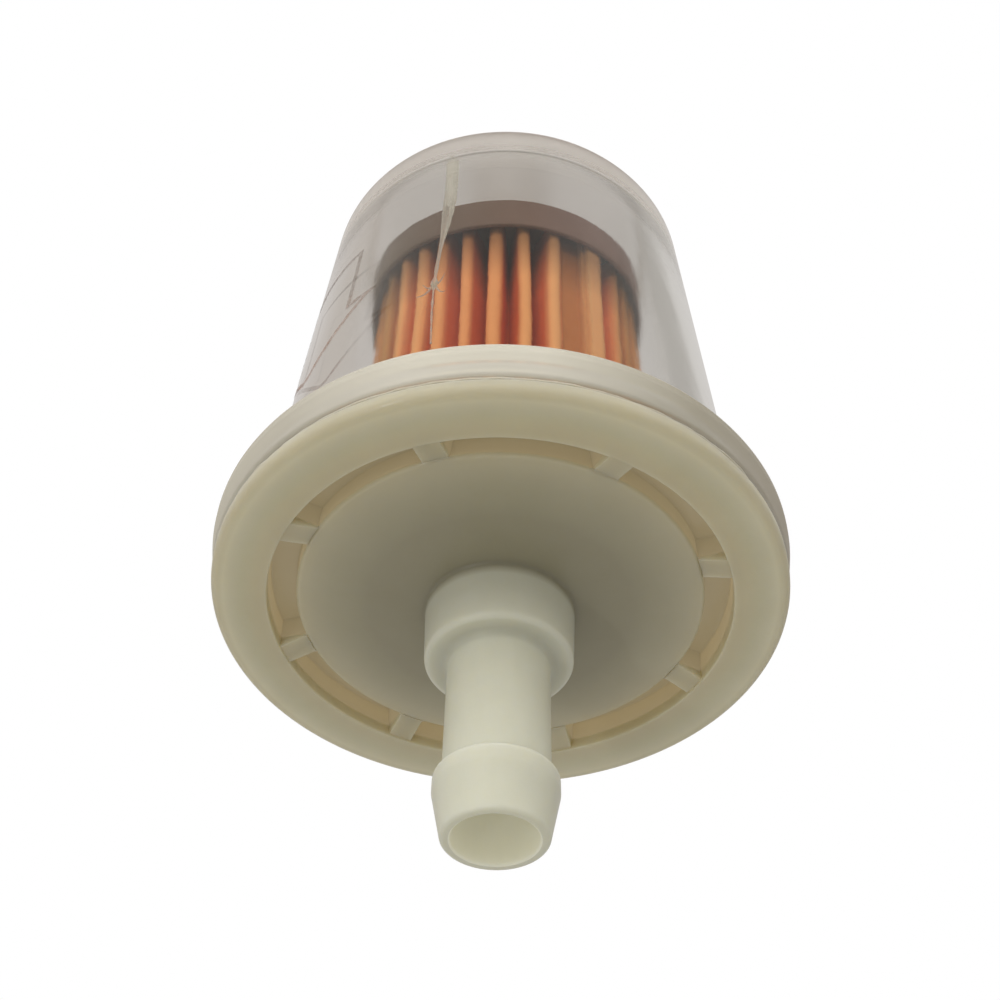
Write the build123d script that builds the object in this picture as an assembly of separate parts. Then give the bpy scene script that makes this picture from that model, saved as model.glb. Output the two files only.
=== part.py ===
from build123d import *
import math
import os

# Inline fuel filter for 1/4 inch hose. Millimetres. The origin is the centre of the outlet
# nipple's mouth, and +Z runs along the filter's axis from the outlet towards the inlet.
# The front of the filter faces -Y.

# ---- hose nipples: the base cap and the bowl carry the same one ----
NIPPLE_LENGTH = 17.9        # from the moulding's end face to the mouth
BORE_RADIUS = 2.7
MOUTH_RADIUS = 3.3          # outside of the tip
MOUTH_ROUNDING = 0.3
BARB_RADIUS = 3.95          # crest of the single barb
BARB_LAND = 1.1             # straight part of the crest
BARB_SHOULDER = 4.3         # from the mouth to the barb's square shoulder
SHANK_RADIUS = 3.4
SHANK_FILLET = 0.5
BOSS_LENGTH = 4.5
BOSS_END_RADIUS = 4.94
BOSS_ROOT_RADIUS = 5.1
BOSS_ROUNDING = 0.4

# ---- base cap, heights above its underside ----
BASE_Z = NIPPLE_LENGTH
CAP_RADIUS = 19.65
CAP_RING_HEIGHT = 1.1
CAP_EDGE_ROUNDING = 0.6
CAP_SEAM_ROUNDING = 0.2
GROOVE_OUTER_RADIUS = 15.88
GROOVE_INNER_RADIUS = 13.98
GROOVE_CEILING = 2.4
WEB_COUNT = 8
WEB_WIDTH = 2.0
WEB_ROOT = 0.25             # how far a web runs into the walls on either side
WEB_STEP = 0.12             # webs stop this far above the ring's face
WEB_FIRST_ANGLE = 27.0
DISH_RIM_HEIGHT = 0.7       # the dish is sunk by this much at its rim
DISH_RIM_EASING = 0.4       # two-step bevel between the dish and the groove's inner wall
DISH_RIM_STEP = 0.12        # where the two steps meet, from the corner that they ease
SPIGOT_RADIUS = 16.45       # raised ring that centres the bowl
SPIGOT_TOP = 4.6
WELL_RADIUS = 12.9          # recess for the paper and its adhesive
WELL_FLOOR = 1.9

# ---- bowl, heights above the base cap's underside ----
FLANGE_RADIUS = 20.0
FLANGE_FOOT_RADIUS = 19.7   # lower edge, where the rim draws in
FLANGE_DRAW_IN_TOP = 3.2
FLANGE_BOTTOM = 1.35
FLANGE_TOP = 4.25
FLANGE_ROUNDING = 0.7       # upper edge
FLANGE_SEAM_ROUNDING = 0.3  # lower edge
COUNTERBORE_RADIUS = 16.6
COUNTERBORE_TOP = 4.75
WALL_FOOT_RADIUS = 17.2
WALL_END_RADIUS = 15.05
WALL_FOOT_FILLET = 0.5
CAVITY_FOOT_RADIUS = 14.3
CAVITY_END_RADIUS = 12.5
CAVITY_TOP = 38.3
CAVITY_ROUNDING = 1.0
BOWL_END = 39.5
BOWL_END_ROUNDING = 0.35

# ---- weld bead between the two flanges ----
BEAD_INNER_RADIUS = 17.2
BEAD_OUTER_RADIUS = 19.3
BEAD_ROUNDING = 0.1

# ---- filter element, heights above the base cap's underside ----
PLEAT_COUNT = 31
PLEAT_OUTER_RADIUS = 10.75  # middle of the paper at the outer folds
PLEAT_INNER_RADIUS = 7.3
RIDGE_WIDTH = 0.9           # flat of an outer fold
VALLEY_WIDTH = 0.55         # flat of an inner fold
PAPER_THICKNESS = 0.5
PAPER_BOTTOM = 2.4
PAPER_TOP = 30.9
SEAM_ANGLE = -61.0          # where the ends of the strip meet, right of the front
SEAM_DEPTH = 2.0            # radial depth over which the two ends are glued
SEAM_FILM = 0.15
BASE_ADHESIVE_TOP = 3.2
BASE_ADHESIVE_INNER_RADIUS = 6.3
TOP_CAP_RADIUS = 11.5
TOP_CAP_WALL = 0.35
TOP_CAP_TOP = 32.0
TOP_CAP_DISC = 0.6
TOP_CAP_SKIRT = 3.8
TOP_CAP_ROUNDING = 0.3
TOP_ADHESIVE_DEPTH = 1.4

# ---- cured adhesive strand in the gap between the element and the bowl ----
STRAND_THICK_RADIUS = 0.35
STRAND_THIN_RADIUS = 0.15
STRAND_ANGLE = -109.4       # left of the front
STRAND_TURN = 0.6           # how far it wanders to the right on its way down
STRAND_TOP = 37.9
STRAND_NECK = 30.5
STRAND_BOTTOM = 12.0
STRAND_WALL_GAP = 0.02

INLET_Z = BASE_Z + BOWL_END + NIPPLE_LENGTH


def revolve_profile(points):
    """Solid of revolution of a closed (radius, height) outline."""
    outline = Polyline([(r, 0, z) for r, z in points], close=True)
    return revolve(make_face(outline), Axis.Z)


def edges_at(solid, radius, height):
    """Circular edges of a given radius at a given height."""
    found = []
    for edge in solid.edges().filter_by(GeomType.CIRCLE):
        same_height = abs(edge.center(CenterOf.BOUNDING_BOX).Z - height) < 0.01
        if same_height and abs(edge.radius - radius) < 0.01:
            found.append(edge)
    return found


def nipple():
    """Outlet nipple from its mouth at z = 0 up to the end face of the moulding it stands on."""
    boss_end = NIPPLE_LENGTH - BOSS_LENGTH
    body = revolve_profile([
        (0, 0),
        (MOUTH_RADIUS, 0),
        (BARB_RADIUS, BARB_SHOULDER - BARB_LAND),
        (BARB_RADIUS, BARB_SHOULDER),
        (SHANK_RADIUS, BARB_SHOULDER),
        (SHANK_RADIUS, boss_end),
        (BOSS_END_RADIUS, boss_end),
        (BOSS_ROOT_RADIUS, NIPPLE_LENGTH),
        (0, NIPPLE_LENGTH),
    ])
    body = fillet(edges_at(body, MOUTH_RADIUS, 0), MOUTH_ROUNDING)
    body = fillet(edges_at(body, SHANK_RADIUS, boss_end), SHANK_FILLET)
    return fillet(edges_at(body, BOSS_END_RADIUS, boss_end), BOSS_ROUNDING)


def webs():
    """Radial webs that cross the ring groove, level with the ring outside and the dish inside."""
    inner_end = GROOVE_INNER_RADIUS - 2 * WEB_ROOT
    outer_end = GROOVE_OUTER_RADIUS + WEB_ROOT
    top = BASE_Z + GROOVE_CEILING + WEB_ROOT
    outline = Polyline([
        (inner_end, 0, BASE_Z + DISH_RIM_HEIGHT + WEB_ROOT),
        (outer_end, 0, BASE_Z + WEB_STEP),
        (outer_end, 0, top),
        (inner_end, 0, top),
    ], close=True)
    web = extrude(make_face(outline), WEB_WIDTH / 2, both=True)
    return [web.rotate(Axis.Z, WEB_FIRST_ANGLE + 360 / WEB_COUNT * i) for i in range(WEB_COUNT)]


def base_cap():
    """Cap with outer ring, webbed groove, sunk dish, spigot, adhesive well and outlet nipple."""
    body = revolve_profile([
        (0, BASE_Z),
        (BOSS_ROOT_RADIUS, BASE_Z),
        (GROOVE_INNER_RADIUS - DISH_RIM_EASING, BASE_Z + DISH_RIM_HEIGHT),
        (GROOVE_INNER_RADIUS - DISH_RIM_STEP, BASE_Z + DISH_RIM_HEIGHT + DISH_RIM_STEP),
        (GROOVE_INNER_RADIUS, BASE_Z + DISH_RIM_HEIGHT + DISH_RIM_EASING),
        (GROOVE_INNER_RADIUS, BASE_Z + GROOVE_CEILING),
        (GROOVE_OUTER_RADIUS, BASE_Z + GROOVE_CEILING),
        (GROOVE_OUTER_RADIUS, BASE_Z),
        (CAP_RADIUS, BASE_Z),
        (CAP_RADIUS, BASE_Z + CAP_RING_HEIGHT),
        (SPIGOT_RADIUS, BASE_Z + CAP_RING_HEIGHT),
        (SPIGOT_RADIUS, BASE_Z + SPIGOT_TOP),
        (WELL_RADIUS, BASE_Z + SPIGOT_TOP),
        (WELL_RADIUS, BASE_Z + WELL_FLOOR),
        (0, BASE_Z + WELL_FLOOR),
    ])
    body = fillet(edges_at(body, CAP_RADIUS, BASE_Z), CAP_EDGE_ROUNDING)
    body = fillet(edges_at(body, CAP_RADIUS, BASE_Z + CAP_RING_HEIGHT), CAP_SEAM_ROUNDING)
    body = body + webs() + nipple()
    bore_height = BASE_Z + WELL_FLOOR
    return body - Pos(0, 0, bore_height / 2) * Cylinder(BORE_RADIUS, bore_height)


def bowl():
    """Clear cup with flange, counterbore for the spigot, tapered wall and inlet nipple."""
    body = revolve_profile([
        (0, BASE_Z + CAVITY_TOP),
        (CAVITY_END_RADIUS, BASE_Z + CAVITY_TOP),
        (CAVITY_FOOT_RADIUS, BASE_Z + COUNTERBORE_TOP),
        (COUNTERBORE_RADIUS, BASE_Z + COUNTERBORE_TOP),
        (COUNTERBORE_RADIUS, BASE_Z + FLANGE_BOTTOM),
        (FLANGE_FOOT_RADIUS, BASE_Z + FLANGE_BOTTOM),
        (FLANGE_RADIUS, BASE_Z + FLANGE_DRAW_IN_TOP),
        (FLANGE_RADIUS, BASE_Z + FLANGE_TOP),
        (WALL_FOOT_RADIUS, BASE_Z + FLANGE_TOP),
        (WALL_END_RADIUS, BASE_Z + BOWL_END),
        (0, BASE_Z + BOWL_END),
    ])
    body = fillet(edges_at(body, FLANGE_FOOT_RADIUS, BASE_Z + FLANGE_BOTTOM), FLANGE_SEAM_ROUNDING)
    body = fillet(edges_at(body, FLANGE_RADIUS, BASE_Z + FLANGE_TOP), FLANGE_ROUNDING)
    body = fillet(edges_at(body, WALL_FOOT_RADIUS, BASE_Z + FLANGE_TOP), WALL_FOOT_FILLET)
    body = fillet(edges_at(body, WALL_END_RADIUS, BASE_Z + BOWL_END), BOWL_END_ROUNDING)
    body = fillet(edges_at(body, CAVITY_END_RADIUS, BASE_Z + CAVITY_TOP), CAVITY_ROUNDING)
    body = body + Pos(0, 0, INLET_Z) * Rot(180, 0, 0) * nipple()
    bore_bottom = BASE_Z + CAVITY_TOP
    bore_middle = (bore_bottom + INLET_Z) / 2
    return body - Pos(0, 0, bore_middle) * Cylinder(BORE_RADIUS, INLET_Z - bore_bottom)


def ring(inner, outer, bottom, top):
    """Plain ring between two radii and two heights above the base cap's underside."""
    return revolve_profile([
        (inner, BASE_Z + bottom),
        (outer, BASE_Z + bottom),
        (outer, BASE_Z + top),
        (inner, BASE_Z + top),
    ])


def weld_bead():
    """Ring of melted plastic that joins the cap's ring to the bowl's flange."""
    body = ring(BEAD_INNER_RADIUS, BEAD_OUTER_RADIUS, CAP_RING_HEIGHT, FLANGE_BOTTOM)
    rims = edges_at(body, BEAD_OUTER_RADIUS, BASE_Z + CAP_RING_HEIGHT)
    rims += edges_at(body, BEAD_OUTER_RADIUS, BASE_Z + FLANGE_BOTTOM)
    return fillet(rims, BEAD_ROUNDING)


def point_at(angle, radius, side):
    """Point at a radius along an angle, then a distance to the left of that direction."""
    a = math.radians(angle)
    along = Vector(math.cos(a), math.sin(a), 0)
    across = Vector(-math.sin(a), math.cos(a), 0)
    return along * radius + across * side


def strip_line():
    """Middle of the folded strip, from one glued end round to the other."""
    pitch = 360 / PLEAT_COUNT
    end_offset = (PAPER_THICKNESS + SEAM_FILM) / 2
    seam_root = PLEAT_OUTER_RADIUS - SEAM_DEPTH
    points = [point_at(SEAM_ANGLE, r, end_offset) for r in (PLEAT_OUTER_RADIUS, seam_root)]
    for i in range(PLEAT_COUNT):
        valley = SEAM_ANGLE + pitch * (i + 0.5)
        points += [point_at(valley, PLEAT_INNER_RADIUS, s * VALLEY_WIDTH / 2) for s in (-1, 1)]
        if i < PLEAT_COUNT - 1:
            ridge = SEAM_ANGLE + pitch * (i + 1)
            points += [point_at(ridge, PLEAT_OUTER_RADIUS, s * RIDGE_WIDTH / 2) for s in (-1, 1)]
    points += [point_at(SEAM_ANGLE, r, -end_offset) for r in (seam_root, PLEAT_OUTER_RADIUS)]
    return points


def strip_outline(points, thickness):
    """Closed outline of a strip of even thickness about an open line."""
    left = []
    right = []
    last = len(points) - 1
    for i, point in enumerate(points):
        before = (points[max(i, 1)] - points[max(i, 1) - 1]).normalized()
        after = (points[min(i, last - 1) + 1] - points[min(i, last - 1)]).normalized()
        normal_before = before.rotate(Axis.Z, 90)
        normal_after = after.rotate(Axis.Z, 90)
        mitre = (normal_before + normal_after) * (1 / (1 + normal_before.dot(normal_after)))
        left.append(point + mitre * (thickness / 2))
        right.append(point - mitre * (thickness / 2))
    return left + right[::-1]


def pleated_paper():
    """Folded strip of filter paper standing between the base cap and the element's top cap."""
    outline = Polyline(strip_outline(strip_line(), PAPER_THICKNESS), close=True)
    face = make_face(outline)
    return Pos(0, 0, BASE_Z + PAPER_BOTTOM) * extrude(face, PAPER_TOP - PAPER_BOTTOM, dir=(0, 0, 1))


def paper_side_seam():
    """Adhesive film between the two ends of the paper strip."""
    top = TOP_CAP_TOP - TOP_CAP_DISC - TOP_ADHESIVE_DEPTH
    height = top - BASE_ADHESIVE_TOP
    film = Box(SEAM_DEPTH, SEAM_FILM, height)
    middle = PLEAT_OUTER_RADIUS - SEAM_DEPTH / 2
    placed = Pos(middle, 0, BASE_Z + BASE_ADHESIVE_TOP + height / 2) * film
    return placed.rotate(Axis.Z, SEAM_ANGLE)


def base_adhesive(paper):
    """Potting in the base cap's well, around and under the lower edge of the paper."""
    body = ring(BASE_ADHESIVE_INNER_RADIUS, WELL_RADIUS, WELL_FLOOR, BASE_ADHESIVE_TOP)
    return body - paper


def element_top_cap():
    """Closed cap with a skirt over the inlet end of the paper."""
    disc_bottom = TOP_CAP_TOP - TOP_CAP_DISC
    skirt_bottom = TOP_CAP_TOP - TOP_CAP_SKIRT
    body = revolve_profile([
        (0, BASE_Z + TOP_CAP_TOP),
        (TOP_CAP_RADIUS, BASE_Z + TOP_CAP_TOP),
        (TOP_CAP_RADIUS, BASE_Z + skirt_bottom),
        (TOP_CAP_RADIUS - TOP_CAP_WALL, BASE_Z + skirt_bottom),
        (TOP_CAP_RADIUS - TOP_CAP_WALL, BASE_Z + disc_bottom),
        (0, BASE_Z + disc_bottom),
    ])
    return fillet(edges_at(body, TOP_CAP_RADIUS, BASE_Z + TOP_CAP_TOP), TOP_CAP_ROUNDING)


def top_cap_adhesive(paper):
    """Potting inside the top cap, around and over the upper edge of the paper."""
    top = BASE_Z + TOP_CAP_TOP - TOP_CAP_DISC
    disc = Cylinder(TOP_CAP_RADIUS - TOP_CAP_WALL, TOP_ADHESIVE_DEPTH)
    return Pos(0, 0, top - TOP_ADHESIVE_DEPTH / 2) * disc - paper


def strand_point(height):
    """Point on the strand's middle line, just inside the bowl's tapered wall."""
    rise = (height - COUNTERBORE_TOP) / (CAVITY_TOP - COUNTERBORE_TOP)
    wall = CAVITY_FOOT_RADIUS + (CAVITY_END_RADIUS - CAVITY_FOOT_RADIUS) * rise
    turned = (STRAND_TOP - height) / (STRAND_TOP - STRAND_BOTTOM)
    radius = wall - STRAND_THICK_RADIUS - STRAND_WALL_GAP
    point = point_at(STRAND_ANGLE + STRAND_TURN * turned, radius, 0)
    return point + Vector(0, 0, BASE_Z + height)


def strand_length(top, bottom, radius):
    """Round length of the strand between two heights."""
    path = Spline(strand_point(top), strand_point((top + bottom) / 2), strand_point(bottom))
    section = Plane(origin=path @ 0, z_dir=path % 0) * Circle(radius)
    return sweep(section, path=path)


def adhesive_strand():
    """Cured adhesive string: thick on the bowl's wall above the element, thin in front of it."""
    thick = strand_length(STRAND_TOP, STRAND_NECK, STRAND_THICK_RADIUS)
    thin = strand_length(STRAND_NECK + STRAND_THICK_RADIUS, STRAND_BOTTOM, STRAND_THIN_RADIUS)
    return thick + thin


def main():
    os.makedirs("parts", exist_ok=True)
    paper = pleated_paper()
    pieces = {
        "bowl": bowl(),
        "base_cap": base_cap(),
        "weld_bead": weld_bead(),
        "pleated_paper": paper,
        "paper_side_seam": paper_side_seam(),
        "element_top_cap": element_top_cap(),
        "top_cap_adhesive": top_cap_adhesive(paper),
        "base_adhesive": base_adhesive(paper),
        "adhesive_strand": adhesive_strand(),
    }
    for name, solid in pieces.items():
        export_step(solid, f"parts/{name}.step")
        box = solid.bounding_box()
        count = len(solid.solids())
        print(name, "solids", count, "volume", round(solid.volume, 2), box.min, box.max)


main()
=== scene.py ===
import math
import random

import bmesh
import bpy
from mathutils import Matrix, Vector, noise


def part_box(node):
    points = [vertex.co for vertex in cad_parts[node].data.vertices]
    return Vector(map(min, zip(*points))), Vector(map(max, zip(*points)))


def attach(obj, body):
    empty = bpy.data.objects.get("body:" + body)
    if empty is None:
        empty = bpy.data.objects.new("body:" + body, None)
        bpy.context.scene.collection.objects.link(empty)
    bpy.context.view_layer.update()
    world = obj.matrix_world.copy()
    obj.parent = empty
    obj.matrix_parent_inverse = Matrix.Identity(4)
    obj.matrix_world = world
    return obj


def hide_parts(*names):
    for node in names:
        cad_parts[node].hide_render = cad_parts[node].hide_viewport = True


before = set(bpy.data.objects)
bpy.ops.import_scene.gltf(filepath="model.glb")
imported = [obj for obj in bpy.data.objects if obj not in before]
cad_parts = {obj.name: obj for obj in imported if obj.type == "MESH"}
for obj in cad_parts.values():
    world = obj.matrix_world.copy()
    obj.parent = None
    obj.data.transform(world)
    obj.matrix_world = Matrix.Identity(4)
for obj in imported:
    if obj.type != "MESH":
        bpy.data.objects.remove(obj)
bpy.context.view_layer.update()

# The pieces' lengths are in millimetres, turned into metres when a mesh is made, and their heights
# are above the base cap's underside, as in the CAD. Bump, lights, floor and camera are in metres.
# Angles are in degrees from +X, so the front is -90. Those in the FOLDS values are from the front.
MM = 0.001
TAU = 2 * math.pi
BODY = "root"
RING_HEIGHT = 1.1
BASE_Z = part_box("weld_bead")[0].z / MM - RING_HEIGHT
INLET_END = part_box("bowl")[1].z / MM - BASE_Z
FLANGE_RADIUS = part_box("bowl")[1].x / MM
CAP_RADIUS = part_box("base_cap")[1].x / MM
SPIGOT_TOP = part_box("base_cap")[1].z / MM - BASE_Z
PAPER_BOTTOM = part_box("pleated_paper")[0].z / MM - BASE_Z
PAPER_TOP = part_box("pleated_paper")[1].z / MM - BASE_Z
TOP_CAP_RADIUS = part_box("element_top_cap")[1].x / MM
TOP_CAP_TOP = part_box("element_top_cap")[1].z / MM - BASE_Z
TOP_CAP_SKIRT_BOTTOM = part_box("element_top_cap")[0].z / MM - BASE_Z
BASE_ADHESIVE_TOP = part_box("base_adhesive")[1].z / MM - BASE_Z
WELL_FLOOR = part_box("base_adhesive")[0].z / MM - BASE_Z
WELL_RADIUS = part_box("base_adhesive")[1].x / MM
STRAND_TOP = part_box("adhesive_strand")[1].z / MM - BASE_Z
STRAND_HAIR = 1.0
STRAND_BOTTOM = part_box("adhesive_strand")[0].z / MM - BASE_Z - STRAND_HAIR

BORE_RADIUS = 2.7
TIP_RADIUS = 3.3
BARB_RADIUS = 3.95
BARB_CREST = 3.2
BARB_BACK = 4.3
SHANK_RADIUS = 3.4
BOSS_FACE = 13.4
BOSS_RADIUS = 4.94
BOSS_ROOT_RADIUS = 5.1
BOSS_ROOT = 17.9

FLANGE_BOTTOM = 1.35
FLANGE_FOOT_RADIUS = 19.7
FLANGE_DRAW_IN_TOP = 3.2
FLANGE_TOP = 4.25
COUNTERBORE_RADIUS = 16.6
COUNTERBORE_TOP = 4.75
WALL_FOOT_RADIUS = 17.2
WALL_END_RADIUS = 15.05
CAVITY_FOOT_RADIUS = 14.3
CAVITY_END_RADIUS = 12.5
CAVITY_TOP = 38.3
BOWL_END = 39.5

SPIGOT_RADIUS = 16.45
GROOVE_OUTER_RADIUS = 15.88
GROOVE_INNER_RADIUS = 13.98
GROOVE_CEILING = 2.4
WEB_COUNT = 8
WEB_HALF_WIDTH = 1.0
WEB_FIRST_ANGLE = 27.0
WEB_RING_STEP = 0.12
DISH_RIM_HEIGHT = 0.7
SEAM_INNER_RADIUS = 17.2
SEAM_OUTER_RADIUS = 19.54

FRONT = -90.0
FOLD_COUNT = 31
FOLDS_LEFT_OF_LAP = (-64, -54.5, -44, -35, -26, -15.8, -5, 6.3, 17)
FOLDS_RIGHT_OF_LAP = (34, 48, 57, 66)
PLEAT_OUTER_RADIUS = 10.75
PLEAT_INNER_RADIUS = 7.3
PAPER_THICKNESS = 0.5
LAP_ANGLE = FRONT + 28
LAP_RADIUS = 10.0
DOUBLED_FOLD = 0.42
FOLD_HALF_WIDTH = 0.2
VALLEY_HALF_WIDTH = 0.24
FOLD_ROUNDING = 0.42
STAIN_ANGLE = FRONT + 41
STAIN_RADIUS = 8.4
TOP_CAP_SHEET = 0.35
POTTING_BORE_RADIUS = 6.3

STRAND_ANGLE = FRONT - 20
STRAND_HALF_WIDTH = 0.47
STRAND_HALF_DEPTH = 0.16
NECK_START = 23.0
NECK_END = 30.0
KNOT_HEIGHT = 18.7

NYLON_IOR = 1.5
ADHESIVE_IOR = 1.42

random.seed(7)


# ---------------------------------------------------------------- geometry helpers
def rounded(corners, steps=7):
    """(r, z) outline from (r, z, rounding) corners of a closed loop."""
    outline = []
    count = len(corners)
    for i in range(count):
        r, z, radius = corners[i]
        here = Vector((r, z))
        to_last = Vector(corners[i - 1][:2]) - here
        to_next = Vector(corners[(i + 1) % count][:2]) - here
        if radius <= 0 or to_last.length < 1e-6 or to_next.length < 1e-6:
            outline.append((r, z))
            continue
        a, b = to_last.normalized(), to_next.normalized()
        half = math.acos(max(-1.0, min(1.0, a.dot(b)))) / 2
        if half > 1.55:
            outline.append((r, z))
            continue
        cut = min(radius / math.tan(half), 0.48 * to_last.length, 0.48 * to_next.length)
        true_radius = cut * math.tan(half)
        centre = here + (a + b).normalized() * (true_radius / math.sin(half))
        first, last = here + a * cut - centre, here + b * cut - centre
        turn = first.angle_signed(last)
        for k in range(steps + 1):
            t = turn * k / steps
            x = first.x * math.cos(t) + first.y * math.sin(t)
            y = -first.x * math.sin(t) + first.y * math.cos(t)
            outline.append((centre.x + x, centre.y + y))
    return outline


def subdivided(outline, longest):
    """The closed outline with no step longer than a length, and a point close to each corner."""
    fine = []
    count = len(outline)
    for i in range(count):
        a, b = Vector(outline[i]), Vector(outline[(i + 1) % count])
        fine.append(tuple(a))
        length = (b - a).length
        parts = max(1, math.ceil(length / longest))
        edge = min(0.12, length * 0.2)
        stops = [k / parts for k in range(1, parts)]
        if length > 0.6:
            stops = sorted(set([edge / length, 1 - edge / length] + stops))
        fine += [tuple(a.lerp(b, t)) for t in stops]
    return fine


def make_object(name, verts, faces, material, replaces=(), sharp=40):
    """Mesh object from millimetre vertices, shaded smooth, riding on the CAD body."""
    mesh = bpy.data.meshes.new(name)
    mesh.from_pydata([(x * MM, y * MM, z * MM) for x, y, z in verts], [], faces)
    work = bmesh.new()
    work.from_mesh(mesh)
    bmesh.ops.remove_doubles(work, verts=work.verts, dist=1e-8)
    bmesh.ops.recalc_face_normals(work, faces=work.faces)
    work.to_mesh(mesh)
    work.free()
    mesh.polygons.foreach_set("use_smooth", [True] * len(mesh.polygons))
    mesh.set_sharp_from_angle(angle=math.radians(sharp))
    mesh.materials.append(material)
    made = bpy.data.objects.new(name, mesh)
    bpy.context.scene.collection.objects.link(made)
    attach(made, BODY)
    if replaces:
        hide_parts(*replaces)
    return made


def ring_faces(rings, size):
    """Quads that join rings of the same size, each to the next."""
    faces = []
    for row in range(rings - 1):
        here, there = row * size, (row + 1) * size
        for k in range(size):
            m = (k + 1) % size
            faces.append((here + k, here + m, there + m, there + k))
    return faces


def ends(rings, size):
    """The first and the last ring as one face each."""
    last = (rings - 1) * size
    return [tuple(range(size)), tuple(range(last, last + size))]


def even_angles(count):
    """Evenly spaced angles of a full turn, in radians."""
    return [TAU * i / count for i in range(count)]


def lathe(outline_at, angles):
    """Vertices and faces of a turned surface. outline_at(angle) gives the (r, z) outline there.

    Outlines are joined point by point. rounded() can give fewer points where a corner is nearly
    straight, as it does in both pottings, and there three or more faces share some edges.
    """
    verts, faces, starts = [], [], []
    for angle in angles:
        outline = outline_at(angle)
        starts.append(len(verts))
        c, n = math.cos(angle), math.sin(angle)
        verts += [(r * c, r * n, BASE_Z + z) for r, z in outline]
    size = len(outline)
    for a, b in zip(starts, starts[1:] + starts[:1]):
        for k in range(size):
            m = (k + 1) % size
            faces.append((a + k, b + k, b + m, a + m))
    return verts, faces


def smooth(t):
    """0 to 1 with a soft start and end."""
    t = max(0.0, min(1.0, t))
    return t * t * (3 - 2 * t)


def ripple(angle, seed, size, cycles):
    """Small smooth variation round a circle."""
    p = Vector((math.cos(angle) * cycles, math.sin(angle) * cycles, seed))
    return size * noise.noise(p)


# ---------------------------------------------------------------- material helpers
class Shader:
    """The node tree of a material or of the world, built a node at a time."""

    def __init__(self, owner, output="ShaderNodeOutputMaterial"):
        self.owner = owner
        owner.use_nodes = True
        self.tree = owner.node_tree
        self.tree.nodes.clear()
        self.out = self.tree.nodes.new(output)

    def node(self, kind, **inputs):
        """New node. Each keyword names a setting or, with _ for a space, an input and its value."""
        made = self.tree.nodes.new(kind)
        for key, value in inputs.items():
            name = key.replace("_", " ")
            if hasattr(made, key):
                setattr(made, key, value)
            elif isinstance(value, bpy.types.NodeSocket):
                self.tree.links.new(value, made.inputs[name])
            else:
                made.inputs[name].default_value = value
        return made

    def link(self, a, b):
        self.tree.links.new(a, b)

    def put(self, value, socket):
        """Links a socket, or sets a number or a colour."""
        if isinstance(value, bpy.types.NodeSocket):
            self.link(value, socket)
        elif isinstance(value, tuple):
            socket.default_value = (*value, 1)
        else:
            socket.default_value = value

    def position(self):
        return self.node("ShaderNodeTexCoord").outputs["Object"]

    def split(self, vector):
        made = self.node("ShaderNodeSeparateXYZ", Vector=vector)
        return made.outputs

    def noise(self, scale, detail=4.0, roughness=0.55, vector=None):
        made = self.node("ShaderNodeTexNoise", Scale=scale, Detail=detail, Roughness=roughness,
                         Vector=vector or self.position())
        return made.outputs["Fac"]

    def stretched(self, x, y, z):
        made = self.node("ShaderNodeMapping", Scale=(x, y, z), Vector=self.position())
        return made.outputs["Vector"]

    def math(self, operation, a, b=0.0, c=0.0):
        made = self.tree.nodes.new("ShaderNodeMath")
        made.operation = operation
        for value, socket in zip((a, b, c), made.inputs):
            self.put(value, socket)
        return made.outputs[0]

    def between(self, value, low=0.0, high=1.0):
        return self.math("MAXIMUM", self.math("MINIMUM", value, high), low)

    def distance(self, x, y):
        return self.math("SQRT", self.math("ADD", self.math("MULTIPLY", x, x), self.math("MULTIPLY", y, y)))

    def ramp(self, factor, stops):
        made = self.tree.nodes.new("ShaderNodeValToRGB")
        ramp = made.color_ramp
        while len(ramp.elements) < len(stops):
            ramp.elements.new(0.5)
        for element, (at, colour) in zip(ramp.elements, stops):
            element.position = at
            element.color = (*colour, 1)
        self.link(factor, made.inputs["Fac"])
        return made.outputs["Color"]

    def mix_colour(self, factor, a, b, blend="MIX"):
        made = self.tree.nodes.new("ShaderNodeMix")
        made.data_type = "RGBA"
        made.blend_type = blend
        for value, socket in zip((factor, a, b), (made.inputs[0], made.inputs[6], made.inputs[7])):
            self.put(value, socket)
        return made.outputs[2]

    def tinted(self, colour, tint):
        """The colour multiplied by another."""
        return self.mix_colour(1.0, colour, tint, "MULTIPLY")

    def mix_shader(self, factor, a, b):
        made = self.tree.nodes.new("ShaderNodeMixShader")
        for value, socket in zip((factor, a, b), made.inputs):
            self.put(value, socket)
        return made.outputs[0]

    def bump(self, height, strength, distance):
        made = self.node("ShaderNodeBump", Strength=strength, Distance=distance, Height=height)
        return made.outputs["Normal"]

    def finish(self, surface):
        self.link(surface, self.out.inputs["Surface"])
        return self.owner


def new_material(name):
    return Shader(bpy.data.materials.new(name))


# ---------------------------------------------------------------- materials
def radius_and_height(s):
    """Distance from the axis and height above the base cap's underside, both in mm."""
    x, y, z = s.split(s.position())
    return s.math("DIVIDE", s.distance(x, y), MM), s.math("SUBTRACT", s.math("DIVIDE", z, MM), BASE_Z)


def distance_from(s, angle, radius):
    """Distance in metres from a line that runs up at an angle and a radius."""
    line = polar(angle, radius) * MM
    x, y, _ = s.split(s.position())
    return s.distance(s.math("SUBTRACT", x, line.x), s.math("SUBTRACT", y, line.y))


def pass_through(s, surface, tint):
    """Lets light reach what is inside a clear piece, while the camera still sees it refract."""
    path = s.node("ShaderNodeLightPath")
    soft = s.math("MAXIMUM", path.outputs["Is Shadow Ray"], path.outputs["Is Diffuse Ray"])
    open_way = s.node("ShaderNodeBsdfTransparent", Color=(*tint, 1))
    return s.mix_shader(soft, surface, open_way.outputs[0])


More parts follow.
